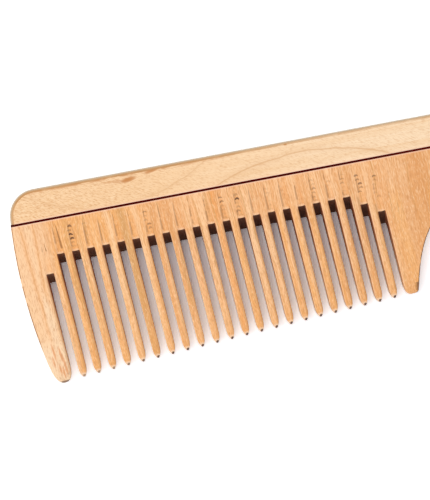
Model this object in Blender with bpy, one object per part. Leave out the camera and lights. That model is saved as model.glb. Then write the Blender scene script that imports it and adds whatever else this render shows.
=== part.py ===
"""A wooden comb with a handle, glued up from three pieces of wood.

A long strip of pale wood runs from the front of the comb to the end of its handle, with its grain along
the comb. A thin dyed veneer lies against it. The toothed board is glued to the veneer, with its grain along
the teeth, and carries the two guards, the fine teeth and the lower half of the handle. The teeth are sawn
out of the board, so they are no pieces of their own.

The parts are drawn on a plan with x along the veneer from the front of the comb to its handle, y square to
the veneer, up into the strip, and z from the back face to the front face. All lengths are in metres.
"""

import math

import bmesh
import bpy
from mathutils import Vector
from mathutils.geometry import intersect_line_line_2d, intersect_line_sphere_2d

# The blank
COMB_LENGTH = 0.2000
THICKNESS = 0.0080
STRIP_WIDTH = 0.00825
VENEER_THICKNESS = 0.0006
STRIP_ROUNDING = 0.00095
BOARD_ROUNDING = 0.00025

# The front edge: a shallow bow that turns into the straight top edge at a round corner
BOW_RADIUS = 0.1400
BOW_DEPTH = 0.0082
CORNER_RADIUS = 0.0071

# The teeth and the slots between them, measured along the veneer
FINE_TEETH = 22
TOOTH_WIDTH = 0.00205
SLOT_WIDTH = 0.00195
TOOTH_LEAN = math.radians(3.5)
FRONT_GUARD_WIDTH = 0.00615
TOOTH_REACH = 0.0421

# The roots of the slots, below the veneer, on the front face, and how much lower they lie on the back face
FIRST_ROOT_DEPTH = 0.00930
LAST_ROOT_DEPTH = 0.00860
FRONT_ROOT_STEP = 0.00474
REAR_ROOT_STEP = 0.00268
FRONT_ROOT_SLANT = 0.0023
REAR_ROOT_SLANT = 0.0033
ROOT_ROUNDING = 0.0003

# The flutes that the cutter leaves above the roots
FLUTE_LENGTH = 0.0088
FLUTE_DEPTH = 0.00045
FLUTE_INSET = 0.00005

# The thinning of the teeth and their rounded tips
TAPER_DEPTH = 0.0125
TIP_THICKNESS = 0.0036
TIP_LENGTH = 0.0028
TIP_END_WIDTH = 0.0005
TIP_END_THICKNESS = 0.0016

# The guards: how far they stand past the fine teeth, how high above their ends the sides start to curve in,
# and the share of an end's width that such a curve takes
FRONT_GUARD_OVERHANG = 0.00030
REAR_GUARD_OVERHANG = 0.00005
FRONT_GUARD_OUTER_CURVE = 0.0050
FRONT_GUARD_INNER_CURVE = 0.0042
REAR_GUARD_INNER_CURVE = 0.0036
GUARD_CURVE_SHARE = 0.46
REAR_GUARD_CORNER_ROUNDING = 0.0009
REAR_GUARD_END_WIDTH = 0.00345

# The hollow behind the rear guard and the handle
GUARD_FLARE_RADIUS = 0.0610
GUARD_FLARE_START = math.radians(10.4)
HOLLOW_RADIUS = 0.0270
HANDLE_DEPTH = 0.0093
HANDLE_BELLY = 0.0009

# How far a cutter stands past what it cuts, and how near a cut takes a point to lie on it
OVERRUN = 0.0010
CUT_REACH = 0.00001

# The height of a rounded tip is given at these shares of its length
TIP_SHARES = (1.0, 0.75, 0.5, 0.3, 0.15, 0.05)
TIP_CURVE_SHARE = 0.55

# Surfaces that slope less than this from the plan are flat, the others are shaded as curves
FLAT_SLOPE = math.radians(7)

HALF_VENEER = VENEER_THICKNESS / 2
TOP_EDGE = HALF_VENEER + STRIP_WIDTH
PITCH = TOOTH_WIDTH + SLOT_WIDTH
SLOTS = FINE_TEETH + 1
DOWN_TEETH = Vector((math.sin(TOOTH_LEAN), -math.cos(TOOTH_LEAN)))
ACROSS_TEETH = Vector((math.cos(TOOTH_LEAN), math.sin(TOOTH_LEAN)))
BOW_CENTRE = Vector((BOW_RADIUS, -BOW_DEPTH))


def on_leaning_line(x_at_veneer, y):
    """The plan point at height y on a line that leans with the teeth."""
    return Vector((x_at_veneer - y * math.tan(TOOTH_LEAN), y))


def slot_walls(slot):
    """Where the walls of a slot, run on upwards, meet the middle of the veneer."""
    front = FRONT_GUARD_WIDTH + slot * PITCH
    return front, front + SLOT_WIDTH


def root_depth(slot):
    """How far below the veneer a slot ends on the front face."""
    share = min(max((slot - 1) / (FINE_TEETH - 2), 0), 1)
    depth = FIRST_ROOT_DEPTH + share * (LAST_ROOT_DEPTH - FIRST_ROOT_DEPTH)
    if slot == 0:
        depth += FRONT_ROOT_STEP
    depth += REAR_ROOT_STEP * max(slot - (FINE_TEETH - 2), 0)
    return depth


def root_slant(slot):
    """How much lower a slot's end lies on the back face than on the front face."""
    return FRONT_ROOT_SLANT + (REAR_ROOT_SLANT - FRONT_ROOT_SLANT) * slot / FINE_TEETH


def tip_centre(tooth):
    """The middle of a fine tooth's end. The ends lie on a line square to the teeth."""
    first = slot_walls(0)[1] + TOOTH_WIDTH / 2
    return on_leaning_line(first, -TOOTH_REACH) + ACROSS_TEETH * (tooth * PITCH * math.cos(TOOTH_LEAN))


def tip_share(share_of_length):
    """The share of a tooth's width and height that is left this far from its end."""
    return (1 - (1 - min(share_of_length, 1)) ** 2) ** TIP_CURVE_SHARE


def arc(centre, radius, start, end, steps):
    """Points on an arc of a circle, both ends included, from one angle to another."""
    angles = [start + (end - start) * step / steps for step in range(steps + 1)]
    return [centre + radius * Vector((math.cos(angle), math.sin(angle))) for angle in angles]


def rounded_corner(before, corner, after, radius, steps):
    """The arc that rounds a corner between two straight edges."""
    back = (before - corner).normalized()
    ahead = (after - corner).normalized()
    half_angle = back.angle(ahead) / 2
    centre = corner + (back + ahead).normalized() * (radius / math.sin(half_angle))
    run = radius / math.tan(half_angle)
    start = corner + back * run - centre
    end = corner + ahead * run - centre
    start_angle = math.atan2(start.y, start.x)
    turn = start.angle_signed(end)
    return arc(centre, radius, start_angle, start_angle - turn, steps)


def eased_corner(start, corner, end, steps):
    """A curve that leaves the line to a corner at its start and joins the line from the corner at its end."""
    shares = [step / steps for step in range(steps + 1)]
    return [start * (1 - share) ** 2 + corner * (2 * share * (1 - share)) + end * share ** 2 for share in shares]


def bow_point(y):
    """The front edge of the comb at height y."""
    rise = y - BOW_CENTRE.y
    return Vector((BOW_CENTRE.x - math.sqrt(BOW_RADIUS ** 2 - rise ** 2), y))


def end_arc(start, end, steps):
    """The round end of the handle between two angles."""
    radius = (TOP_EDGE + HANDLE_DEPTH) / 2
    centre = Vector((COMB_LENGTH - radius, TOP_EDGE - radius))
    return arc(centre, radius, start, end, steps)


def end_angle(y):
    """The angle at which the handle's round end is at height y."""
    radius = (TOP_EDGE + HANDLE_DEPTH) / 2
    return math.asin((y - TOP_EDGE + radius) / radius)


def end_line_point(slot_side, overhang):
    """Where the line along a guard's end crosses a line that leans with the teeth."""
    on_line = tip_centre(0) + DOWN_TEETH * overhang
    top = on_leaning_line(slot_side, 0)
    return intersect_line_line_2d(on_line - ACROSS_TEETH * COMB_LENGTH, on_line + ACROSS_TEETH * COMB_LENGTH,
                                  top, top + DOWN_TEETH * COMB_LENGTH)


def front_edge_points():
    """The board's front edge and the rounded end of the front guard, down to the first slot."""
    inner_corner = end_line_point(slot_walls(0)[0], FRONT_GUARD_OVERHANG)
    far = inner_corner - ACROSS_TEETH * COMB_LENGTH
    outer_corner = intersect_line_sphere_2d(inner_corner, far, BOW_CENTRE, BOW_RADIUS)[0]
    bow_end = bow_point(outer_corner.y + FRONT_GUARD_OUTER_CURVE)
    steps = 14
    heights = [-HALF_VENEER + (bow_end.y + HALF_VENEER) * step / steps for step in range(steps)]
    run = (inner_corner - outer_corner) * GUARD_CURVE_SHARE
    outer = eased_corner(bow_end, outer_corner, outer_corner + run, 6)
    inner = eased_corner(inner_corner - run, inner_corner, inner_corner - DOWN_TEETH * FRONT_GUARD_INNER_CURVE, 6)
    return [bow_point(y) for y in heights] + outer + inner


def root_points(slot):
    """The end of a slot, from its front wall to its rear wall, with slightly rounded corners."""
    walls = slot_walls(slot)
    front, rear = [on_leaning_line(wall, -root_depth(slot)) for wall in walls]
    return (rounded_corner(front + DOWN_TEETH, front, rear, ROOT_ROUNDING, 2)
            + rounded_corner(front, rear, rear + DOWN_TEETH, ROOT_ROUNDING, 2))


def tooth_points(tooth):
    """The rounded end of a fine tooth, from its front wall to its rear wall."""
    centre = tip_centre(tooth)
    half_width = TOOTH_WIDTH * math.cos(TOOTH_LEAN) / 2
    front = []
    rear = []
    for share in TIP_SHARES:
        half = max(half_width * tip_share(share), TIP_END_WIDTH / 2)
        level = centre - DOWN_TEETH * (TIP_LENGTH * share)
        front.append(level - ACROSS_TEETH * half)
        rear.append(level + ACROSS_TEETH * half)
    front.append(centre - ACROSS_TEETH * (TIP_END_WIDTH / 2))
    rear.append(centre + ACROSS_TEETH * (TIP_END_WIDTH / 2))
    return front + rear[::-1]


def rear_guard_points():
    """The rounded end of the rear guard and the hollow up to the lower edge of the handle."""
    inner_corner = end_line_point(slot_walls(FINE_TEETH)[1], REAR_GUARD_OVERHANG)
    outer_corner = inner_corner + ACROSS_TEETH * REAR_GUARD_END_WIDTH
    rise = -HANDLE_DEPTH - outer_corner.y
    start_sine = math.sin(GUARD_FLARE_START)
    turn_sine = (rise + GUARD_FLARE_RADIUS * start_sine - HOLLOW_RADIUS) / (GUARD_FLARE_RADIUS - HOLLOW_RADIUS)
    turn = math.asin(turn_sine)
    flare_centre = outer_corner + GUARD_FLARE_RADIUS * Vector((math.cos(GUARD_FLARE_START), -start_sine))
    flare = arc(flare_centre, GUARD_FLARE_RADIUS, math.pi - GUARD_FLARE_START, math.pi - turn, 7)
    hollow_centre = flare[-1] + HOLLOW_RADIUS * Vector((math.cos(turn), -math.sin(turn)))
    hollow = arc(hollow_centre, HOLLOW_RADIUS, math.pi - turn, math.pi / 2, 14)
    run = (outer_corner - inner_corner) * GUARD_CURVE_SHARE
    inner = eased_corner(inner_corner - DOWN_TEETH * REAR_GUARD_INNER_CURVE, inner_corner, inner_corner + run, 6)
    outer = rounded_corner(inner_corner, outer_corner, flare[1], REAR_GUARD_CORNER_ROUNDING, 4)
    return inner + outer + flare[1:] + hollow[1:]


def handle_points(hollow_end):
    """The slightly bellied lower edge of the handle and its round end, up to the veneer."""
    low_end = end_arc(-math.pi / 2, end_angle(-HALF_VENEER), 12)
    steps = 14
    belly = []
    for step in range(1, steps):
        x = hollow_end.x + (low_end[0].x - hollow_end.x) * step / steps
        belly.append(Vector((x, -HANDLE_DEPTH - HANDLE_BELLY * math.sin(math.pi * step / steps) ** 2)))
    return belly + low_end


def strip_outline():
    """The outline of the pale strip, from the veneer over the front corner and the handle's end."""
    corner_y = TOP_EDGE - CORNER_RADIUS
    reach = BOW_RADIUS - CORNER_RADIUS
    corner_x = BOW_CENTRE.x - math.sqrt(reach ** 2 - (corner_y - BOW_CENTRE.y) ** 2)
    corner_centre = Vector((corner_x, corner_y))
    outward = corner_centre - BOW_CENTRE
    bow_end = math.atan2(outward.y, outward.x)
    corner = arc(corner_centre, CORNER_RADIUS, math.pi / 2, bow_end, 14)
    end = end_arc(end_angle(HALF_VENEER), math.pi / 2, 12)
    return end + corner + [bow_point(HALF_VENEER)]


def veneer_outline():
    """The outline of the veneer, a thin slice across the whole blank."""
    ends = [end_arc(end_angle(y), end_angle(y), 1)[0] for y in (-HALF_VENEER, HALF_VENEER)]
    return ends + [bow_point(HALF_VENEER), bow_point(-HALF_VENEER)]


def new_prism(outline):
    """A mesh of the plan outline, raised to the thickness of the blank, its points numbered in order."""
    mesh = bmesh.new()
    number = mesh.verts.layers.int.new("number")
    corners = []
    for place, point in enumerate(outline):
        corner = mesh.verts.new((point.x, point.y, 0))
        corner[number] = place
        corners.append(corner)
    face = mesh.faces.new(corners)
    raised = bmesh.ops.extrude_face_region(mesh, geom=[face])["geom"]
    top = [item for item in raised if isinstance(item, bmesh.types.BMVert)]
    bmesh.ops.translate(mesh, vec=(0, 0, THICKNESS), verts=top)
    bmesh.ops.recalc_face_normals(mesh, faces=mesh.faces)
    return mesh, number


def round_rim(mesh, number, is_rim, radius, segments):
    """Rounds the edges of both faces along the stretches of the outline that is_rim picks."""
    edges = []
    for edge in mesh.edges:
        low, high = sorted(corner[number] for corner in edge.verts)
        level = abs(edge.verts[0].co.z - edge.verts[1].co.z) < THICKNESS / 2
        if level and high - low == 1 and is_rim(low):
            edges.append(edge)
    bmesh.ops.bevel(mesh, geom=edges, offset=radius, offset_type="OFFSET", segments=segments, profile=0.5,
                    affect="EDGES", material=-1, clamp_overlap=False)


def wood(name, colour, roughness):
    """A plain finish of one colour."""
    material = bpy.data.materials.new(name)
    material.use_nodes = True
    shader = material.node_tree.nodes["Principled BSDF"]
    shader.inputs["Base Color"].default_value = (*colour, 1)
    shader.inputs["Roughness"].default_value = roughness
    shader.inputs["Metallic"].default_value = 0
    return material


def finish(mesh, name, material, blank):
    """Makes an object of the mesh and places it with the blank."""
    bmesh.ops.recalc_face_normals(mesh, faces=mesh.faces)
    data = bpy.data.meshes.new(name)
    mesh.to_mesh(data)
    mesh.free()
    data.set_sharp_from_angle(angle=math.radians(30))
    for face in data.polygons:
        face.use_smooth = abs(face.normal.z) < math.cos(FLAT_SLOPE)
    data.materials.append(material)
    piece = bpy.data.objects.new(name, data)
    bpy.context.collection.objects.link(piece)
    piece.parent = blank
    return piece


def make_strip(blank):
    """The pale strip with its rounded outer edge."""
    outline = strip_outline()
    mesh, number = new_prism(outline)
    round_rim(mesh, number, lambda place: place < len(outline) - 1, STRIP_ROUNDING, 3)
    return finish(mesh, "spine_strip", wood("pale_beech", (0.87, 0.64, 0.39), 0.5), blank)


def make_veneer(blank):
    """The dyed veneer line."""
    mesh, number = new_prism(veneer_outline())
    round_rim(mesh, number, lambda place: place % 2 == 0, BOARD_ROUNDING, 1)
    return finish(mesh, "veneer_line", wood("dyed_veneer", (0.07, 0.007, 0.003), 0.5), blank)


def height_share(point):
    """The share of the blank's thickness that is left at a point of the board."""
    share = 1.0
    below = -point.y - TAPER_DEPTH
    if below > 0:
        share -= (1 - TIP_THICKNESS / THICKNESS) * below / (TOOTH_REACH - TAPER_DEPTH)
    plan = Vector((point.x, point.y))
    from_end = (tip_centre(0) - plan).dot(DOWN_TEETH)
    x_at_veneer = plan.x - on_leaning_line(0, plan.y).x
    if x_at_veneer < slot_walls(0)[1]:
        from_end += FRONT_GUARD_OVERHANG
    if x_at_veneer > slot_walls(FINE_TEETH)[0]:
        from_end += REAR_GUARD_OVERHANG
    if from_end < TIP_LENGTH:
        end_share = TIP_END_THICKNESS / TIP_THICKNESS
        share *= end_share + (1 - end_share) * tip_share(max(from_end, 0) / TIP_LENGTH)
    return share


def flute_cutter(blank):
    """One leaning half-round bar for each slot, which rises out of the front face above the root."""
    mesh = bmesh.new()
    steps = 8
    for slot in range(SLOTS):
        front, rear = slot_walls(slot)
        half_width = SLOT_WIDTH * math.cos(TOOTH_LEAN) / 2 - FLUTE_INSET
        root = on_leaning_line((front + rear) / 2, -root_depth(slot))
        ring = []
        for step in range(steps + 1):
            angle = math.pi + math.pi * step / steps
            across = ACROSS_TEETH * (half_width * math.cos(angle))
            ring.append(Vector((across.x, across.y, THICKNESS + FLUTE_DEPTH * math.sin(angle))))
        for across in (ACROSS_TEETH * half_width, -ACROSS_TEETH * half_width):
            ring.append(Vector((across.x, across.y, THICKNESS + OVERRUN)))
        run = FLUTE_LENGTH + 2 * OVERRUN
        low_end = root + DOWN_TEETH * OVERRUN
        sink = Vector((0, 0, -FLUTE_DEPTH * OVERRUN / FLUTE_LENGTH))
        place = Vector((low_end.x, low_end.y, 0)) + sink
        face = mesh.faces.new([mesh.verts.new(place + corner) for corner in ring])
        raised = bmesh.ops.extrude_face_region(mesh, geom=[face])["geom"]
        along = Vector((-DOWN_TEETH.x * run, -DOWN_TEETH.y * run, FLUTE_DEPTH * run / FLUTE_LENGTH))
        moved = [item for item in raised if isinstance(item, bmesh.types.BMVert)]
        bmesh.ops.translate(mesh, vec=along, verts=moved)
    cutter = finish(mesh, "flute_cutter", wood("cutter", (0.5, 0.5, 0.5), 0.5), blank)
    cutter.hide_render = True
    cutter.display_type = "WIRE"
    return cutter


def make_board(blank):
    """The toothed board: outline, slots with slanted roots, thinned teeth and flutes."""
    outline = front_edge_points()
    slants = {}
    for slot in range(SLOTS):
        root = root_points(slot)
        for place in range(len(outline), len(outline) + len(root)):
            slants[place] = root_slant(slot)
        outline += root
        if slot < FINE_TEETH:
            outline += tooth_points(slot)
    rear_guard = rear_guard_points()
    outline += rear_guard
    outline += handle_points(rear_guard[-1])

    mesh, number = new_prism(outline)
    for corner in mesh.verts:
        if corner[number] in slants and corner.co.z < THICKNESS / 2:
            slant = slants[corner[number]]
            corner.co.x += DOWN_TEETH.x * slant
            corner.co.y += DOWN_TEETH.y * slant

    # The teeth's ends are the narrowest walls that the rounding runs round
    rounding = min(BOARD_ROUNDING, TIP_END_WIDTH / 2)
    round_rim(mesh, number, lambda place: place < len(outline) - 1, rounding, 2)

    # The faces are split where their slope changes
    cuts = [(Vector((0, -TAPER_DEPTH, 0)), Vector((0, 1, 0)))]
    for share in TIP_SHARES:
        level = tip_centre(0) - DOWN_TEETH * (TIP_LENGTH * share)
        cuts.append((Vector((level.x, level.y, 0)), Vector((DOWN_TEETH.x, DOWN_TEETH.y, 0))))
    for place, normal in cuts:
        everything = list(mesh.verts) + list(mesh.edges) + list(mesh.faces)
        bmesh.ops.bisect_plane(mesh, geom=everything, dist=CUT_REACH, plane_co=place, plane_no=normal)

    middle = THICKNESS / 2
    for corner in mesh.verts:
        corner.co.z = middle + (corner.co.z - middle) * height_share(corner.co)

    board = finish(mesh, "tooth_board", wood("warm_beech", (0.80, 0.47, 0.23), 0.5), blank)
    flutes = board.modifiers.new("flutes", "BOOLEAN")
    flutes.operation = "DIFFERENCE"
    flutes.solver = "EXACT"
    flutes.object = flute_cutter(blank)
    return board


def centre_on_floor(blank, pieces):
    """Moves the blank so that the middle of the comb's back lies at the world's origin."""
    corners = [corner.co for piece in pieces for corner in piece.data.vertices]
    x_middle = (min(corner.x for corner in corners) + max(corner.x for corner in corners)) / 2
    y_middle = (min(corner.y for corner in corners) + max(corner.y for corner in corners)) / 2
    blank.location = (-x_middle, -y_middle, 0)


for old in list(bpy.data.objects):
    bpy.data.objects.remove(old, do_unlink=True)

comb = bpy.data.objects.new("comb", None)
bpy.context.collection.objects.link(comb)
comb_pieces = [make_strip(comb), make_veneer(comb), make_board(comb)]
centre_on_floor(comb, comb_pieces)
bpy.context.view_layer.update()
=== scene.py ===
"""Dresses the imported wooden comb: three glued pieces of wood on a white table, seen from above."""

import math

import bmesh
import bpy
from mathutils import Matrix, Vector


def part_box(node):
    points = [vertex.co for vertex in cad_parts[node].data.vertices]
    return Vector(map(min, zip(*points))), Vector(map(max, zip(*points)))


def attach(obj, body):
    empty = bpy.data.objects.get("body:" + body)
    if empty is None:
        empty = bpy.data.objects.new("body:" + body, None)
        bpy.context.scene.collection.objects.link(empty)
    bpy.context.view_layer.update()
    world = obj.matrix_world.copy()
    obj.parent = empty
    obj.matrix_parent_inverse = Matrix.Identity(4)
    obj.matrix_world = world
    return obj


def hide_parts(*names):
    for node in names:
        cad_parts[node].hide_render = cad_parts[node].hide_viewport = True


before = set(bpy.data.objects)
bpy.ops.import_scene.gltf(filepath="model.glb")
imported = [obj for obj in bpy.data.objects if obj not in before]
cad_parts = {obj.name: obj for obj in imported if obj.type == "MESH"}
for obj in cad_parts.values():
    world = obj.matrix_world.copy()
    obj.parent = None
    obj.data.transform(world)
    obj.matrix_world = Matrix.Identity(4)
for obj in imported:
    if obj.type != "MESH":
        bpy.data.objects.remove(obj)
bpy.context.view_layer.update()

# The camera
# It stands almost straight over the comb, turned so that the spine rises to the right. The long lens keeps
# the slots' walls narrow. The handle runs out of the picture.
camera = bpy.data.objects.new("camera", bpy.data.cameras.new("camera"))
camera.data.sensor_width = 36
camera.data.lens = 171.3
camera.location = (-0.05659, -0.00398, 0.6280)
camera.rotation_euler = [math.radians(angle) for angle in (0.604, -0.635, -10.706)]
camera.data.clip_start = 0.01
bpy.context.scene.collection.objects.link(camera)
bpy.context.scene.camera = camera
bpy.context.scene.view_settings.view_transform = "Standard"


# The light and the white table
# A warm oblong lamp hangs over the front end of the comb, in line with the slots, so the slots near the front
# are lit to their floors and those near the handle less. Another stands to the left, and a cooler white room
# fills in. The table is white card, bright enough to show only the deeper shadows.
LAMP_COLOUR = (1.0, 0.93, 0.86)
KEY_PLACE = (-0.11, 0.08, 0.42)
KEY_POWER = 0.47
SIDE_PLACE = (-0.62, 0.05, 0.62)
SIDE_POWER = 1.0
ROOM_COLOUR = (0.985, 1.0, 1.03)
ROOM_STRENGTH = 0.72
TABLE_SIZE = 6.0
TABLE_COLOUR = (0.90, 0.90, 0.90)
TABLE_GLARE = (1.375, 1.455, 1.535)


def soft_lamp(name, place, width, length, power):
    """An oblong lamp that faces the comb. Its length runs with the teeth."""
    lamp = bpy.data.objects.new(name, bpy.data.lights.new(name, "AREA"))
    lamp.data.shape = "RECTANGLE"
    lamp.data.size = width
    lamp.data.size_y = length
    lamp.data.energy = power
    lamp.data.color = LAMP_COLOUR
    lamp.location = place
    lamp.rotation_euler = (-math.atan2(place[1], place[2]), math.atan2(place[0], place[2]), 0)
    bpy.context.scene.collection.objects.link(lamp)


soft_lamp("key_lamp", KEY_PLACE, 0.15, 0.50, KEY_POWER)
soft_lamp("side_lamp", SIDE_PLACE, 0.40, 0.40, SIDE_POWER)


def calc(tree, operation, *values):
    """A Math node. Each value is a number or a socket."""
    node = tree.nodes.new("ShaderNodeMath")
    node.operation = operation
    for socket, value in zip(node.inputs, values):
        if isinstance(value, bpy.types.NodeSocket):
            tree.links.new(value, socket)
        else:
            socket.default_value = value
    return node.outputs[0]


def seen_directly(tree):
    """One where the eye, a gloss or a clear body meets the surface, nought where its light only bounces."""
    path = tree.nodes.new("ShaderNodeLightPath")
    gloss = calc(tree, "MAXIMUM", path.outputs["Is Glossy Ray"], path.outputs["Is Transmission Ray"])
    return calc(tree, "MAXIMUM", path.outputs["Is Camera Ray"], gloss)


def shade_by_view(tree, bounced, seen):
    """A colour that differs between bounced light and what is seen directly."""
    shade = tree.nodes.new("ShaderNodeCombineColor")
    for channel, low, high in zip(shade.inputs, bounced, seen):
        tree.links.new(calc(tree, "MULTIPLY_ADD", seen_directly(tree), high - low, low), channel)
    return shade.outputs[0]


room = bpy.data.worlds.new("white_room")
bpy.context.scene.world = room
room.use_nodes = True
room_tree = room.node_tree
room_light = [share * ROOM_STRENGTH for share in ROOM_COLOUR]
room_tree.links.new(shade_by_view(room_tree, room_light, (1, 1, 1)), room_tree.nodes["Background"].inputs["Color"])

card = bpy.data.materials.new("white_card")
card.use_nodes = True
card_tree = card.node_tree
card_tree.nodes.remove(card_tree.nodes["Principled BSDF"])
card_face = card_tree.nodes.new("ShaderNodeBsdfDiffuse")
card_tree.links.new(shade_by_view(card_tree, TABLE_COLOUR, TABLE_GLARE), card_face.inputs["Color"])
card_tree.links.new(card_face.outputs[0], card_tree.nodes["Material Output"].inputs["Surface"])

table_mesh = bmesh.new()
bmesh.ops.create_grid(table_mesh, x_segments=1, y_segments=1, size=TABLE_SIZE / 2)
table_data = bpy.data.meshes.new("table_top")
table_mesh.to_mesh(table_data)
table_mesh.free()
table_data.materials.append(card)
table_top = bpy.data.objects.new("table_top", table_data)
bpy.context.scene.collection.objects.link(table_top)


# The pale strip
# A long stave of pale beech with its grain along the comb, glued over the veneer. Its outer edge is rounded
# over; it has browned from handling, and painted shade darkens it further where it turns over.
HANDLE_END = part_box("spine_strip")[1].x
COMB_LENGTH = 0.2000
VENEER_LOW, VENEER_HIGH = [corner.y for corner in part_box("veneer_line")]
VENEER_MIDDLE = (VENEER_LOW + VENEER_HIGH) / 2
MERGE_DISTANCE = 2e-6
FLAT_ANGLE = math.radians(0.2)
SHARP_ANGLE = math.radians(32)
FACE_SLOPE = math.radians(7)
ARCH_MIDDLE = 0.0781
ARCH_HEIGHT = 0.0051
ARCH_CURVE = 8.6
CLIMB_START = 0.0286
CLIMB_CURVE = 12.5
PALE_BEECH = (0.95, 0.645, 0.37)
PALE_BEECH_LIGHT = (1.0, 0.76, 0.51)
PALE_BEECH_DEEP = (0.88, 0.55, 0.28)
FLECK_SLANT = math.radians(-26)
FLECK_BROWN = (0.66, 0.33, 0.13)
FLECK_CREAM = (1.0, 0.80, 0.56)
GROWTH_BROWN = (0.72, 0.40, 0.18)
KNOT_RED = (0.58, 0.23, 0.060)
EDGE_ORANGE = (0.56, 0.275, 0.095)
EDGE_BROWN = (0.58, 0.37, 0.19)
EDGE_OLIVE = (0.62, 0.50, 0.36)
VENEER_BLUSH = (1.0, 0.62, 0.46)

# Reddish streaks and a dark speck: the middle, half the length and width, how steeply it climbs, how strong it is
STRIP_STREAKS = (((0.0295, 0.0064), 0.0050, 0.00050, -0.08, 0.45), ((0.0326, 0.0063), 0.0026, 0.00080, 0.14, 0.95),
                 ((0.0390, 0.0075), 0.0026, 0.00060, 0.20, 0.80), ((0.0496, 0.0076), 0.0050, 0.00050, 0.08, 0.45),
                 ((0.0166, 0.0077), 0.0060, 0.00050, 0.06, 0.55), ((0.0745, 0.0077), 0.0006, 0.00030, 0.00, 0.95))


def dressed_piece(node, name):
    """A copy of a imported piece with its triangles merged, shaded flat on its faces and smooth on its edges."""
    mesh = bmesh.new()
    mesh.from_mesh(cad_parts[node].data)
    bmesh.ops.remove_doubles(mesh, verts=mesh.verts, dist=MERGE_DISTANCE)
    bmesh.ops.dissolve_limit(mesh, angle_limit=FLAT_ANGLE, verts=mesh.verts, edges=mesh.edges)
    bmesh.ops.recalc_face_normals(mesh, faces=mesh.faces)
    for edge in mesh.edges:
        edge.smooth = len(edge.link_faces) == 2 and edge.calc_face_angle() < SHARP_ANGLE
    for face in mesh.faces:
        face.smooth = abs(face.normal.z) < math.cos(FACE_SLOPE)
    data = bpy.data.meshes.new(name)
    mesh.to_mesh(data)
    mesh.free()
    piece = bpy.data.objects.new(name, data)
    bpy.context.scene.collection.objects.link(piece)
    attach(piece, "root")
    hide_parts(node)
    return piece


def mixed(tree, share, first, second):
    """A colour between two others. Each is a colour or a socket, and so is the share."""
    node = tree.nodes.new("ShaderNodeMix")
    node.data_type = "RGBA"
    for name, value in (("Factor_Float", share), ("A_Color", first), ("B_Color", second)):
        socket = next(item for item in node.inputs if item.identifier == name)
        if isinstance(value, bpy.types.NodeSocket):
            tree.links.new(value, socket)
        else:
            socket.default_value = (*value, 1) if isinstance(value, tuple) else value
    return next(item for item in node.outputs if item.identifier == "Result_Color")


def fade(tree, value, start, end):
    """Nought before start and one past end, with a soft step between them. End may be the lower one."""
    node = tree.nodes.new("ShaderNodeMapRange")
    node.interpolation_type = "SMOOTHSTEP"
    tree.links.new(value, node.inputs["Value"])
    node.inputs["From Min"].default_value = start
    node.inputs["From Max"].default_value = end
    return node.outputs["Result"]


def product(tree, *values):
    """Several numbers or sockets multiplied together."""
    result = values[0]
    for value in values[1:]:
        result = calc(tree, "MULTIPLY", result, value)
    return result


def joined(tree, x, y, z=0.0):
    """A vector of three numbers or sockets."""
    node = tree.nodes.new("ShaderNodeCombineXYZ")
    for socket, value in zip(node.inputs, (x, y, z)):
        if isinstance(value, bpy.types.NodeSocket):
            tree.links.new(value, socket)
        else:
            socket.default_value = value
    return node.outputs[0]


def clouds(tree, place, scale, detail=2.0, roughness=0.5):
    """A soft noise between nought and one."""
    node = tree.nodes.new("ShaderNodeTexNoise")
    tree.links.new(place, node.inputs["Vector"])
    node.inputs["Scale"].default_value = scale
    node.inputs["Detail"].default_value = detail
    node.inputs["Roughness"].default_value = roughness
    return node.outputs["Fac"]


def plan_place(tree):
    """Where a point lies on the comb: from the front, above the veneer, and above the table, in metres."""
    place = tree.nodes.new("ShaderNodeTexCoord")
    mapping = tree.nodes.new("ShaderNodeMapping")
    mapping.inputs["Location"].default_value = (COMB_LENGTH - HANDLE_END, -VENEER_MIDDLE, 0)
    tree.links.new(place.outputs["Object"], mapping.inputs["Vector"])
    parts = tree.nodes.new("ShaderNodeSeparateXYZ")
    tree.links.new(mapping.outputs[0], parts.inputs[0])
    return parts.outputs[0], parts.outputs[1], parts.outputs[2]


def new_group(name, inputs, outputs):
    """An empty node group with number or vector inputs and number outputs."""
    group = bpy.data.node_groups.new(name, "ShaderNodeTree")
    for label, kind in inputs:
        group.interface.new_socket(label, in_out="INPUT", socket_type=kind)
    for label in outputs:
        group.interface.new_socket(label, in_out="OUTPUT", socket_type="NodeSocketFloat")
    return group, group.nodes.new("NodeGroupInput"), group.nodes.new("NodeGroupOutput")


def wood_fibre():
    """Long soft streaks, thin lines, fibres, short pores and a fine mottle. Along and Across are places in the
    board's own grain."""
    group, given, made = new_group("wood_fibre",
                                   [("Along", "NodeSocketFloat"), ("Across", "NodeSocketFloat"),
                                    ("Height", "NodeSocketFloat"), ("Streak", "NodeSocketFloat"),
                                    ("Pore", "NodeSocketFloat")],
                                   ["Streaks", "Lines", "Fibres", "Pores", "Mottle"])
    along, across, height, streak, pore = [given.outputs[place] for place in range(5)]

    def stretched(scale, length_share, fineness):
        """A place in a noise that is drawn out along the grain."""
        return joined(group, product(group, along, length_share, scale), product(group, across, fineness, scale),
                      product(group, height, fineness, scale))

    group.links.new(clouds(group, stretched(streak, 0.025, 1.0), 1.0, 3.0, 0.6), made.inputs["Streaks"])
    thin = clouds(group, stretched(streak, 0.06, 3.4), 1.0, 2.0, 0.5)
    group.links.new(fade(group, thin, 0.58, 0.70), made.inputs["Lines"])
    group.links.new(clouds(group, stretched(streak, 0.12, 6.0), 1.0, 2.0, 0.6), made.inputs["Fibres"])
    dashes = clouds(group, stretched(pore, 0.16, 1.0), 1.0, 1.0, 0.4)
    group.links.new(fade(group, dashes, 0.57, 0.68), made.inputs["Pores"])
    group.links.new(clouds(group, stretched(pore, 0.26, 1.15), 1.0, 2.0, 0.6), made.inputs["Mottle"])
    return group


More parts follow.
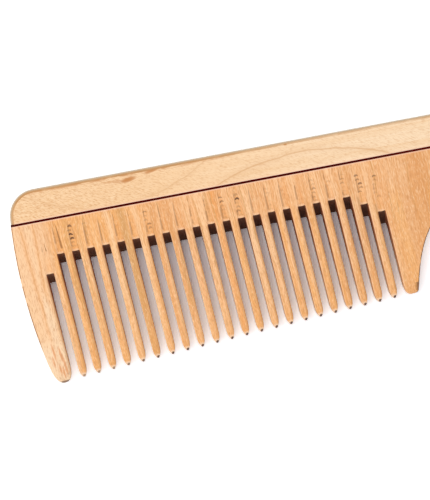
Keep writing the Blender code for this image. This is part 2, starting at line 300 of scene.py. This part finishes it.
def rim_tilt():
    """How far the surface leans over from the comb's flat faces, from nought to one on an upright wall, and how
    much it faces along the comb, from minus one towards the front to one towards the handle."""
    group, given, made = new_group("rim_tilt", [], ["Tilt", "Facing"])
    normal = group.nodes.new("ShaderNodeTexCoord").outputs["Normal"]
    parts = group.nodes.new("ShaderNodeSeparateXYZ")
    group.links.new(normal, parts.inputs[0])
    upright = calc(group, "ABSOLUTE", parts.outputs[2])
    group.links.new(calc(group, "SUBTRACT", 1.0, upright), made.inputs["Tilt"])
    group.links.new(parts.outputs[0], made.inputs["Facing"])
    return group


def placed_group(tree, group, **values):
    """Puts a node group into a material with its own values."""
    node = tree.nodes.new("ShaderNodeGroup")
    node.node_tree = group
    for name, value in values.items():
        if isinstance(value, bpy.types.NodeSocket):
            tree.links.new(value, node.inputs[name])
        else:
            node.inputs[name].default_value = value
    return node


def wood_material(name, gloss):
    """An oiled wood whose colour is still to be made. Gives the material, its tree and its shader."""
    material = bpy.data.materials.new(name)
    material.use_nodes = True
    shader = material.node_tree.nodes["Principled BSDF"]
    shader.inputs["Specular IOR Level"].default_value = gloss
    return material, material.node_tree, shader


def raised(tree, height, strength, distance, shader):
    """Gives the shader a relief."""
    bump = tree.nodes.new("ShaderNodeBump")
    bump.inputs["Strength"].default_value = strength
    bump.inputs["Distance"].default_value = distance
    tree.links.new(height, bump.inputs["Height"])
    tree.links.new(bump.outputs["Normal"], shader.inputs["Normal"])


def spot(tree, x, y, place, half_length, half_width, lean=0.0):
    """A soft oval spot at a place on the plan. Lean is how steeply it climbs along the comb."""
    along = calc(tree, "SUBTRACT", x, place[0])
    climb = calc(tree, "MULTIPLY", along, lean)
    above = calc(tree, "SUBTRACT", calc(tree, "SUBTRACT", y, place[1]), climb)
    far = calc(tree, "ADD", calc(tree, "POWER", calc(tree, "DIVIDE", along, half_length), 2.0),
               calc(tree, "POWER", calc(tree, "DIVIDE", above, half_width), 2.0))
    return fade(tree, far, 1.0, 0.0)


fibre_group = wood_fibre()
tilt_group = rim_tilt()

pale_beech, tree, shader = wood_material("pale_beech", 0.30)
x, y, z = plan_place(tree)
grain = placed_group(tree, fibre_group, Along=x, Across=y, Height=z, Streak=400.0, Pore=3900.0)
# Short flecks cross the strip at a slant, thickest at the front
slant_along = calc(tree, "MULTIPLY_ADD", x, math.cos(FLECK_SLANT), calc(tree, "MULTIPLY", y, math.sin(FLECK_SLANT)))
slant_across = calc(tree, "MULTIPLY_ADD", y, math.cos(FLECK_SLANT), calc(tree, "MULTIPLY", x, -math.sin(FLECK_SLANT)))
flecks = placed_group(tree, fibre_group, Along=slant_along, Across=slant_across, Height=z, Streak=400.0, Pore=3800.0)
at_front = fade(tree, x, 0.065, 0.005)
colour = mixed(tree, fade(tree, x, 0.030, 0.105), PALE_BEECH, PALE_BEECH_LIGHT)
colour = mixed(tree, product(tree, fade(tree, grain.outputs["Streaks"], 0.38, 0.68), 0.35), colour, PALE_BEECH_DEEP)
colour = mixed(tree, product(tree, fade(tree, grain.outputs["Fibres"], 0.44, 0.66), 0.25), colour, PALE_BEECH_DEEP)
light_flecks = product(tree, fade(tree, flecks.outputs["Mottle"], 0.46, 0.30),
                       calc(tree, "MULTIPLY_ADD", at_front, 0.30, 0.30))
colour = mixed(tree, light_flecks, colour, FLECK_CREAM)
brown_flecks = product(tree, fade(tree, flecks.outputs["Mottle"], 0.50, 0.66),
                       calc(tree, "MULTIPLY_ADD", at_front, 0.44, 0.30))
colour = mixed(tree, brown_flecks, colour, FLECK_BROWN)
place = joined(tree, x, y, z)
darker = product(tree, at_front, fade(tree, clouds(tree, place, 260.0), 0.42, 0.64), 0.30)
colour = mixed(tree, darker, colour, PALE_BEECH_DEEP)
pores = product(tree, flecks.outputs["Pores"], calc(tree, "MULTIPLY_ADD", at_front, 0.16, 0.26))
colour = mixed(tree, pores, colour, FLECK_BROWN)
# Two faint growth lines: one arches over the middle of the head, one climbs to the top edge before it
wander = calc(tree, "MULTIPLY", calc(tree, "SUBTRACT", clouds(tree, place, 160.0), 0.5), 0.0012)
arch = calc(tree, "MULTIPLY", calc(tree, "POWER", calc(tree, "SUBTRACT", x, ARCH_MIDDLE), 2.0), ARCH_CURVE)
over_arch = calc(tree, "ADD", calc(tree, "ADD", y, arch), wander)
arch_off = calc(tree, "ABSOLUTE", calc(tree, "SUBTRACT", over_arch, ARCH_HEIGHT))
climb = calc(tree, "MULTIPLY", calc(tree, "POWER", calc(tree, "SUBTRACT", x, CLIMB_START), 2.0), CLIMB_CURVE)
climb_off = calc(tree, "ABSOLUTE", calc(tree, "SUBTRACT", calc(tree, "ADD", y, wander), climb))
for off, strength in ((arch_off, 0.62), (climb_off, 0.36)):
    colour = mixed(tree, product(tree, fade(tree, off, 0.00030, 0.00004), strength), colour, GROWTH_BROWN)
    colour = mixed(tree, product(tree, fade(tree, off, 0.0017, 0.0), strength * 0.30), colour, GROWTH_BROWN)
for middle, half_length, half_width, lean, strength in STRIP_STREAKS:
    mark = product(tree, spot(tree, x, y, middle, half_length, half_width, lean), strength)
    colour = mixed(tree, mark, colour, KNOT_RED)
# A broken red-brown line has gathered below the rounded edge on the front half
smear = fade(tree, clouds(tree, joined(tree, product(tree, x, 300.0), product(tree, y, 900.0)), 1.0, 2.0), 0.40, 0.62)
smear = product(tree, smear, fade(tree, y, 0.0070, 0.0077), fade(tree, x, 0.068, 0.050),
                fade(tree, z, 0.0066, 0.0072), 0.80)
colour = mixed(tree, smear, colour, KNOT_RED)
# The dye has crept a little way into the glued edge
colour = mixed(tree, product(tree, fade(tree, y, 0.00080, 0.00035), 0.60), colour, VENEER_BLUSH)
# The rounded edge: orange where it starts, browner on its shoulder, dull and greyish outside. The browning is partly
# from handling and partly painted shade, deeper where the edge turns over
tilt = placed_group(tree, tilt_group).outputs["Tilt"]
patchy = fade(tree, clouds(tree, place, 170.0, 3.0, 0.6), 0.36, 0.60)
worn = calc(tree, "MULTIPLY_ADD", fade(tree, x, 0.085, 0.045), 0.50, calc(tree, "MULTIPLY_ADD", patchy, 0.30, 0.20))
not_upright = fade(tree, tilt, 0.95, 0.70)
inner_edge = product(tree, fade(tree, tilt, 0.0004, 0.012), not_upright, worn)
colour = mixed(tree, inner_edge, colour, EDGE_ORANGE)
shoulder_brown_and_painted_shade = product(tree, fade(tree, tilt, 0.05, 0.17), not_upright, 0.85)
colour = mixed(tree, shoulder_brown_and_painted_shade, colour, EDGE_BROWN)
outer_share = calc(tree, "MULTIPLY_ADD", fade(tree, tilt, 0.65, 0.95), -0.55, 0.95)
dull_edge_and_painted_shade = product(tree, fade(tree, tilt, 0.15, 0.40), outer_share)
colour = mixed(tree, dull_edge_and_painted_shade, colour, EDGE_OLIVE)
tree.links.new(colour, shader.inputs["Base Color"])
tree.links.new(calc(tree, "MULTIPLY_ADD", grain.outputs["Fibres"], 0.22, 0.36), shader.inputs["Roughness"])
raised(tree, calc(tree, "SUBTRACT", grain.outputs["Fibres"], grain.outputs["Pores"]), 0.25, 0.00006, shader)

pale_strip = dressed_piece("spine_strip", "pale_strip")
pale_strip.data.materials.append(pale_beech)


# The dyed veneer
# A leaf of veneer about 0.6 mm thick, dyed dark red right through. It is glued between the strip and the board
# along the whole comb, and sanded flush with them.
VENEER_MAROON = (0.062, 0.0016, 0.0005)
VENEER_LIGHTER = (0.110, 0.0080, 0.0030)

dyed_veneer, tree, shader = wood_material("dyed_veneer", 0.02)
x, y, z = plan_place(tree)
grain = placed_group(tree, fibre_group, Along=x, Across=y, Height=z, Streak=900.0, Pore=5000.0)
colour = mixed(tree, fade(tree, grain.outputs["Streaks"], 0.45, 0.75), VENEER_MAROON, VENEER_LIGHTER)
colour = mixed(tree, product(tree, grain.outputs["Pores"], 0.5), colour, VENEER_LIGHTER)
tree.links.new(colour, shader.inputs["Base Color"])
tree.links.new(calc(tree, "MULTIPLY_ADD", grain.outputs["Fibres"], 0.20, 0.42), shader.inputs["Roughness"])
raised(tree, grain.outputs["Fibres"], 0.2, 0.00004, shader)

dark_veneer = dressed_piece("veneer_line", "dark_veneer")
dark_veneer.data.materials.append(dyed_veneer)


# The toothed board
# A board of warmer beech with its grain along the teeth. The slots are sawn with a round cutter, which runs
# out of the front face in flutes and scorches them. The slots' walls are left browned by the saw, and painted
# shade darkens their roots towards the handle.
TOOTH_LEAN = math.radians(3.5)
PITCH = 0.0040
SLOT_WIDTH = 0.00195
FRONT_GUARD_WIDTH = 0.00615
SLOTS = 23
FIRST_ROOT = 0.00930
ROOT_RISE = 0.000035
FRONT_ROOT_STEP = 0.00474
REAR_ROOT_STEP = 0.00268
REAR_STEPS = 3.0
TIP_LINE = 0.04274
FRONT_FACE = 0.0070
SCORCH_PITCH = 0.00108
SCORCH_RADIUS = 0.00036
WARM_BEECH = (0.92, 0.475, 0.205)
WARM_BEECH_LIGHT = (1.0, 0.60, 0.315)
WARM_BEECH_DEEP = (0.76, 0.335, 0.108)
HONEY = (0.94, 0.445, 0.115)
TIP_ORANGE = (0.90, 0.42, 0.135)
GUARD_PINK = (0.98, 0.66, 0.395)
OLIVE_STRIPE = (0.62, 0.325, 0.105)
ORANGE_STRIPE = (0.90, 0.37, 0.095)
PORE_RED = (0.50, 0.19, 0.060)
STREAK_RED = (0.76, 0.26, 0.070)
DASH_BROWN = (0.66, 0.29, 0.095)
DASH_CREAM = (1.0, 0.66, 0.38)
SCORCH = (0.075, 0.026, 0.012)
SAWN_WALL = (0.72, 0.31, 0.105)
SAWN_DEEP = (0.45, 0.130, 0.040)
SAWN_PALE = (0.86, 0.64, 0.44)
SAWN_ROOT = (0.150, 0.066, 0.042)
SAWN_ROOT_PAINTED_SHADE = (0.066, 0.021, 0.015)
END_GRAIN = (0.060, 0.009, 0.004)
EDGE_DARK = (0.20, 0.080, 0.030)
EDGE_BROWN_LINE = (0.38, 0.165, 0.050)
EDGE_CREAM = (1.0, 0.72, 0.50)
TOOTH_SHADE = (0.50, 0.25, 0.095)

# How strongly each flute is scorched, from the front to the handle
SCORCH_SHARES = (0.00, 0.06, 0.95, 0.14, 0.03, 0.05, 0.06, 0.62, 0.05, 0.00, 0.04, 0.06,
                 0.45, 0.78, 0.05, 0.16, 0.06, 0.10, 0.38, 0.16, 0.46, 0.56, 0.42)

# Stripes in the board: where they stand, half their width, how strong they are, and their colour
STRIPES = ((0.0142, 0.0011, 0.35, OLIVE_STRIPE), (0.0172, 0.0003, 0.50, OLIVE_STRIPE),
           (0.0222, 0.0006, 0.35, WARM_BEECH_DEEP), (0.0290, 0.0019, 0.70, OLIVE_STRIPE),
           (0.0254, 0.0012, 0.65, DASH_CREAM), (0.0326, 0.0012, 0.50, DASH_CREAM),
           (0.0366, 0.0017, 0.50, WARM_BEECH_DEEP),
           (0.0430, 0.0010, 0.30, WARM_BEECH_DEEP), (0.0497, 0.0011, 0.50, WARM_BEECH_LIGHT),
           (0.0515, 0.0003, 0.60, OLIVE_STRIPE), (0.0530, 0.0012, 0.75, ORANGE_STRIPE),
           (0.0601, 0.0009, 0.30, WARM_BEECH_DEEP), (0.0668, 0.0008, 0.30, WARM_BEECH_LIGHT),
           (0.0720, 0.0010, 0.25, ORANGE_STRIPE), (0.0826, 0.0008, 0.30, WARM_BEECH_DEEP),
           (0.0876, 0.0012, 0.35, WARM_BEECH_LIGHT), (0.0935, 0.0008, 0.30, WARM_BEECH_LIGHT),
           (0.0990, 0.0030, 0.15, WARM_BEECH_DEEP))

# The front guard's two growth lines: where they start at the veneer, and how they drift further down
GUARD_LINES = ((0.00235, 0.042), (0.0060, -0.050))

# The red streaks in the front guard's end: how far down, how far across, and half their length
GUARD_STREAKS = ((0.0369, 0.00240, 0.0020), (0.0384, 0.00510, 0.0040), (0.0400, 0.00440, 0.0022),
                 (0.0345, 0.00300, 0.0030), (0.0352, 0.00460, 0.0026), (0.0392, 0.00370, 0.0018))


def scorch_strength(tree, slot_share):
    """The scorching of the flute that a point lies over, read from the shares above."""
    node = tree.nodes.new("ShaderNodeValToRGB")
    node.color_ramp.interpolation = "CONSTANT"
    stops = node.color_ramp.elements
    stops.remove(stops[1])
    for slot, share in enumerate(SCORCH_SHARES):
        stop = stops.new(slot / SLOTS) if slot else stops[0]
        stop.color = (share, share, share, 1)
    tree.links.new(slot_share, node.inputs["Fac"])
    return node.outputs["Color"]


warm_beech, tree, shader = wood_material("warm_beech", 0.30)
x, y, z = plan_place(tree)
# Across: the place on the veneer that the grain through a point leads up to. Down: how far below the veneer
across = calc(tree, "MULTIPLY_ADD", y, math.tan(TOOTH_LEAN), x)
down = calc(tree, "MULTIPLY", y, -1.0)
place = joined(tree, x, y, z)
wander = calc(tree, "MULTIPLY", calc(tree, "SUBTRACT", clouds(tree, place, 70.0, 2.0), 0.5), 0.0022)
figure = calc(tree, "ADD", across, wander)
grain = placed_group(tree, fibre_group, Along=down, Across=figure, Height=z, Streak=440.0, Pore=3400.0)

colour = mixed(tree, fade(tree, grain.outputs["Streaks"], 0.34, 0.62), WARM_BEECH_LIGHT, WARM_BEECH)
broad = clouds(tree, joined(tree, calc(tree, "MULTIPLY", figure, 210.0), calc(tree, "MULTIPLY", down, 9.0)), 1.0, 2.0)
colour = mixed(tree, product(tree, fade(tree, broad, 0.46, 0.68), 0.64), colour, WARM_BEECH_DEEP)
honey = product(tree, fade(tree, figure, 0.0080, 0.0120), fade(tree, figure, 0.0420, 0.0260), 0.55)
colour = mixed(tree, honey, colour, HONEY)
colour = mixed(tree, product(tree, fade(tree, grain.outputs["Fibres"], 0.48, 0.62), 0.52), colour, WARM_BEECH_DEEP)
colour = mixed(tree, product(tree, fade(tree, grain.outputs["Fibres"], 0.46, 0.34), 0.50), colour, DASH_CREAM)
# The teeth differ a little, some yellower and some pinker
tooth_tone = clouds(tree, joined(tree, product(tree, across, 330.0), product(tree, down, 12.0), 0.7), 1.0, 1.0)
on_teeth = fade(tree, down, 0.0060, 0.0130)
colour = mixed(tree, product(tree, fade(tree, tooth_tone, 0.52, 0.66), on_teeth, 0.45), colour, HONEY)
colour = mixed(tree, product(tree, fade(tree, tooth_tone, 0.48, 0.34), on_teeth, 0.45), colour, DASH_CREAM)
for middle, half_width, strength, stripe_colour in STRIPES:
    off = calc(tree, "ABSOLUTE", calc(tree, "SUBTRACT", figure, middle))
    colour = mixed(tree, product(tree, fade(tree, off, half_width, 0.0), strength), colour, stripe_colour)
colour = mixed(tree, product(tree, grain.outputs["Lines"], 0.60), colour, OLIVE_STRIPE)
# The front guard is paler, with two wavy growth lines that draw together towards its end
guard = fade(tree, across, 0.0100, 0.0056)
colour = mixed(tree, product(tree, guard, 0.80), colour, GUARD_PINK)
for start, drift in GUARD_LINES:
    path = calc(tree, "MULTIPLY_ADD", down, drift, start)
    off = calc(tree, "ABSOLUTE", calc(tree, "SUBTRACT", figure, path))
    colour = mixed(tree, product(tree, fade(tree, off, 0.00034, 0.00010), 0.70), colour, GROWTH_BROWN)
    colour = mixed(tree, product(tree, fade(tree, off, 0.0013, 0.0), 0.30), colour, ORANGE_STRIPE)
# It is palest behind its middle
pale_patch = spot(tree, down, across, (0.0270, 0.0043), 0.0100, 0.0014)
colour = mixed(tree, product(tree, pale_patch, 0.60), colour, FLECK_CREAM)
# The wood towards the handle is browner. The change is sharp at the veneer and fades lower down
handle_side = fade(tree, figure, 0.1000, 0.1018)
colour = mixed(tree, product(tree, handle_side, 0.34), colour, WARM_BEECH_DEEP)
colour = mixed(tree, product(tree, handle_side, fade(tree, down, 0.0040, 0.0110), 0.28), colour, WARM_BEECH_DEEP)
# The teeth get more orange towards their ends
tipwards = product(tree, fade(tree, down, 0.0160, 0.0400), calc(tree, "MULTIPLY_ADD", guard, -0.45, 0.50))
colour = mixed(tree, tipwards, colour, TIP_ORANGE)
# The front guard's end is pale, with orange-red streaks that run into it
pale_tip = product(tree, guard, fade(tree, down, 0.0290, 0.0350), 0.55)
colour = mixed(tree, pale_tip, colour, FLECK_CREAM)
for streak_down, streak_across, half_length in GUARD_STREAKS:
    streak = spot(tree, down, across, (streak_down, streak_across), half_length, 0.00038, 0.04)
    colour = mixed(tree, product(tree, streak, 0.70), colour, STREAK_RED)
# Short light and dark dashes along the grain, with a few red pores
colour = mixed(tree, product(tree, grain.outputs["Pores"], 0.30), colour, PORE_RED)
colour = mixed(tree, product(tree, fade(tree, grain.outputs["Mottle"], 0.50, 0.67), 0.42), colour, DASH_BROWN)
colour = mixed(tree, product(tree, fade(tree, grain.outputs["Mottle"], 0.48, 0.31), 0.55), colour, DASH_CREAM)

# Slots and flutes: the number of the slot over which a point lies, and its place across that slot
steps = calc(tree, "DIVIDE", calc(tree, "SUBTRACT", across, FRONT_GUARD_WIDTH), PITCH)
number = calc(tree, "FLOOR", steps)
in_step = calc(tree, "MULTIPLY", calc(tree, "FRACT", steps), PITCH)
from_middle = calc(tree, "DIVIDE", calc(tree, "SUBTRACT", in_step, SLOT_WIDTH / 2), SLOT_WIDTH / 2)
side = calc(tree, "ABSOLUTE", from_middle)
in_row = product(tree, calc(tree, "GREATER_THAN", steps, 0.0), calc(tree, "LESS_THAN", steps, SLOTS))
in_flute = product(tree, fade(tree, side, 1.0, 0.86), in_row)
# The roots rise a little towards the handle. The first slot and the last two end lower down
root_drop = calc(tree, "MULTIPLY", calc(tree, "LESS_THAN", number, 0.5), FRONT_ROOT_STEP)
rear_steps = calc(tree, "MAXIMUM", calc(tree, "SUBTRACT", number, SLOTS - REAR_STEPS), 0.0)
root_drop = calc(tree, "MULTIPLY_ADD", rear_steps, REAR_ROOT_STEP, root_drop)
root_line = calc(tree, "MULTIPLY_ADD", number, -ROOT_RISE, calc(tree, "ADD", root_drop, FIRST_ROOT + ROOT_RISE))
above_root = calc(tree, "SUBTRACT", root_line, down)
front_face = calc(tree, "GREATER_THAN", z, FRONT_FACE)

# Scorch marks: a chain of small crescents that the cutter's teeth burn as it leaves the wood. They are drawn
# on a beat down the flute, each moved, broken and darkened by chance
lower = calc(tree, "MULTIPLY", root_drop, calc(tree, "MULTIPLY", calc(tree, "GREATER_THAN", number, 12.0), 0.35))
beats = calc(tree, "DIVIDE", calc(tree, "SUBTRACT", down, lower), SCORCH_PITCH)
beat = calc(tree, "FLOOR", beats)
chance = tree.nodes.new("ShaderNodeTexWhiteNoise")
chance.noise_dimensions = "3D"
tree.links.new(joined(tree, number, beat), chance.inputs["Vector"])
chances = tree.nodes.new("ShaderNodeSeparateXYZ")
tree.links.new(chance.outputs["Color"], chances.inputs[0])
ragged = calc(tree, "MULTIPLY_ADD", clouds(tree, place, 1500.0, 1.0), 0.0005, -0.00025)
off_side = calc(tree, "MULTIPLY_ADD", from_middle, SLOT_WIDTH / 2,
                calc(tree, "MULTIPLY_ADD", chances.outputs[0], 0.0008, -0.0004))
off_beat = calc(tree, "MULTIPLY_ADD", calc(tree, "FRACT", beats), SCORCH_PITCH,
                calc(tree, "ADD", ragged, -0.75 * SCORCH_PITCH))
far = calc(tree, "SQRT", calc(tree, "ADD", calc(tree, "MULTIPLY", off_side, off_side),
                              calc(tree, "MULTIPLY", off_beat, off_beat)))
off_ring = calc(tree, "ABSOLUTE", calc(tree, "SUBTRACT", far, SCORCH_RADIUS))
crescent = product(tree, fade(tree, off_ring, 0.00030, 0.00010), fade(tree, off_beat, 0.00010, -0.00012), 1.3)
reach = product(tree, calc(tree, "GREATER_THAN", beat, 1.5), calc(tree, "LESS_THAN", beat, 7.5),
                calc(tree, "MULTIPLY_ADD", beat, -0.13, 1.35), fade(tree, above_root, 0.0001, 0.0008))
broken = calc(tree, "MULTIPLY_ADD", chances.outputs[1], 1.15, 0.15)
strength = scorch_strength(tree, calc(tree, "DIVIDE", calc(tree, "ADD", number, 0.5), float(SLOTS)))
marks = calc(tree, "MINIMUM", product(tree, crescent, reach, broken, strength, in_flute, front_face), 1.0)
warmed = product(tree, fade(tree, above_root, 0.0075, 0.0010), in_flute, front_face,
                 calc(tree, "MULTIPLY_ADD", strength, 0.30, 0.18))
colour = mixed(tree, warmed, colour, TIP_ORANGE)
# Each flute has soft brown lines of painted shade along its sides above its root. The side that faces the
# handle gets painted light that lifts the shade there, and the cut has left a pale line at the root itself
flute_painted_shade_lines = product(tree, fade(tree, side, 0.62, 0.95), in_row, fade(tree, side, 1.12, 1.0),
                     fade(tree, above_root, 0.0050, 0.0005), fade(tree, above_root, -0.0001, 0.0001), front_face,
                     calc(tree, "MULTIPLY_ADD", strength, 0.35, 0.10))
colour = mixed(tree, flute_painted_shade_lines, colour, OLIVE_STRIPE)
flute_painted_light_side = product(tree, fade(tree, from_middle, -0.45, -0.80), fade(tree, from_middle, -1.10, -0.90), in_row,
                    fade(tree, above_root, -0.0001, 0.0004), fade(tree, above_root, 0.0090, 0.0040), front_face,
                    calc(tree, "MULTIPLY_ADD", strength, -0.50, 0.75))
colour = mixed(tree, flute_painted_light_side, colour, WARM_BEECH_LIGHT)
pale_line = product(tree, fade(tree, above_root, 0.00060, 0.00025), in_flute, front_face, 0.35)
colour = mixed(tree, pale_line, colour, EDGE_CREAM)
colour = mixed(tree, product(tree, marks, 0.95), colour, SCORCH)

# The fine teeth: a pale line of painted highlight down the front side, and soft brown painted shade down the other
past_root = product(tree, fade(tree, above_root, -0.0002, -0.0010), calc(tree, "GREATER_THAN", steps, -0.2),
                    calc(tree, "LESS_THAN", steps, SLOTS - 0.35))
shaded = product(tree, fade(tree, in_step, PITCH - 0.00080, PITCH - 0.00010), past_root,
                 calc(tree, "MULTIPLY_ADD", fade(tree, across, 0.030, 0.070), 0.15, 0.50))
colour = mixed(tree, shaded, colour, TOOTH_SHADE)
lit = product(tree, fade(tree, in_step, SLOT_WIDTH + 0.00036, SLOT_WIDTH + 0.00010), past_root, 0.45,
              calc(tree, "GREATER_THAN", in_step, SLOT_WIDTH * 0.9))
colour = mixed(tree, lit, colour, EDGE_CREAM)

# Upright walls inside the slots are browned by the saw, most of all at the roots. The root walls also carry
# painted shade that deepens towards the handle
shape = placed_group(tree, tilt_group)
tilt, facing = shape.outputs["Tilt"], shape.outputs["Facing"]
inside = product(tree, calc(tree, "GREATER_THAN", steps, -0.08), calc(tree, "LESS_THAN", steps, SLOTS - 0.44),
                 fade(tree, down, 0.0078, 0.0084))
wall = product(tree, fade(tree, tilt, 0.30, 0.52), inside)
side_wall = fade(tree, calc(tree, "ABSOLUTE", facing), 0.35, 0.80)
# The saw leaves the lower half of the walls pale towards the tips
side_colour = mixed(tree, fade(tree, above_root, -0.0150, -0.0010), SAWN_WALL, SAWN_DEEP)
pale_part = product(tree, fade(tree, down, 0.0160, 0.0300), fade(tree, z, 0.0060, 0.0040))
side_colour = mixed(tree, pale_part, side_colour, SAWN_PALE)
# The root walls turn darker towards the handle: painted shade
root_colour = mixed(tree, fade(tree, across, 0.010, 0.075), SAWN_ROOT, SAWN_ROOT_PAINTED_SHADE)
colour = mixed(tree, product(tree, wall, 0.92), colour, mixed(tree, side_wall, root_colour, side_colour))

# The board's rounded edges: a broken brown line along the front that turns to a pale painted highlight at the
# front guard's end, and a dark one where they face the handle, darkest round the hollow behind the rear guard
outside = calc(tree, "SUBTRACT", 1.0, inside)
hollow_side = fade(tree, across, 0.0956, 0.0981)
chips = fade(tree, clouds(tree, place, 420.0, 1.0), 0.36, 0.44)
rim = product(tree, fade(tree, tilt, 0.010, 0.030), fade(tree, tilt, 0.85, 0.60))
front_rim = product(tree, rim, fade(tree, facing, -0.05, -0.12), outside, fade(tree, across, 0.0200, 0.0100))
brown_rim = product(tree, front_rim, chips, fade(tree, down, 0.0360, 0.0300), 0.95)
colour = mixed(tree, brown_rim, colour, EDGE_BROWN_LINE)
front_end_painted_highlight = product(tree, front_rim, fade(tree, down, 0.0300, 0.0360), 0.60)
colour = mixed(tree, front_end_painted_highlight, colour, EDGE_CREAM)
dark_rim = product(tree, rim, fade(tree, facing, 0.05, 0.12), outside, chips,
                   calc(tree, "MULTIPLY_ADD", hollow_side, 0.55, 0.35))
colour = mixed(tree, dark_rim, colour, EDGE_DARK)

# End grain and a painted highlight: a pale ring of painted highlight and a small dark end on each fine tooth, and a
# thin dark line under the front guard
along_tooth = calc(tree, "MULTIPLY_ADD", x, math.sin(TOOTH_LEAN), calc(tree, "MULTIPLY", down, math.cos(TOOTH_LEAN)))
fine = product(tree, calc(tree, "GREATER_THAN", steps, 0.4), calc(tree, "LESS_THAN", steps, SLOTS - 0.6))
off_tooth = calc(tree, "SUBTRACT", in_step, (SLOT_WIDTH + PITCH) / 2 + 0.00018)
short = calc(tree, "SUBTRACT", TIP_LINE - 0.00032, along_tooth)
far = calc(tree, "ADD", calc(tree, "POWER", calc(tree, "DIVIDE", off_tooth, 0.00040), 2.0),
           calc(tree, "POWER", calc(tree, "DIVIDE", short, 0.00038), 2.0))
tooth_end_painted_highlight = product(tree, fade(tree, along_tooth, TIP_LINE - 0.0014, TIP_LINE - 0.0007), fine, 0.75)
colour = mixed(tree, tooth_end_painted_highlight, colour, EDGE_CREAM)
dark_end = product(tree, fade(tree, far, 1.5, 0.6), fine, fade(tree, z, 0.0036, 0.0050),
                   calc(tree, "MULTIPLY_ADD", fade(tree, across, 0.010, 0.035), 0.40, 0.52))
colour = mixed(tree, dark_end, colour, END_GRAIN)
under_guard = product(tree, fade(tree, along_tooth, TIP_LINE - 0.00040, TIP_LINE - 0.00015),
                      calc(tree, "LESS_THAN", steps, 0.2), fade(tree, across, 0.0026, 0.0034), 0.70)
colour = mixed(tree, under_guard, colour, END_GRAIN)

colour = mixed(tree, product(tree, fade(tree, down, 0.00080, 0.00035), 0.60), colour, VENEER_BLUSH)
tree.links.new(colour, shader.inputs["Base Color"])
dull = calc(tree, "MULTIPLY_ADD", wall, 0.25, calc(tree, "MULTIPLY_ADD", grain.outputs["Fibres"], 0.22, 0.38))
tree.links.new(dull, shader.inputs["Roughness"])
relief = calc(tree, "SUBTRACT", grain.outputs["Fibres"], calc(tree, "ADD", grain.outputs["Pores"], marks))
raised(tree, relief, 0.28, 0.00006, shader)

sawn_board = dressed_piece("tooth_board", "sawn_board")
sawn_board.data.materials.append(warm_beech)
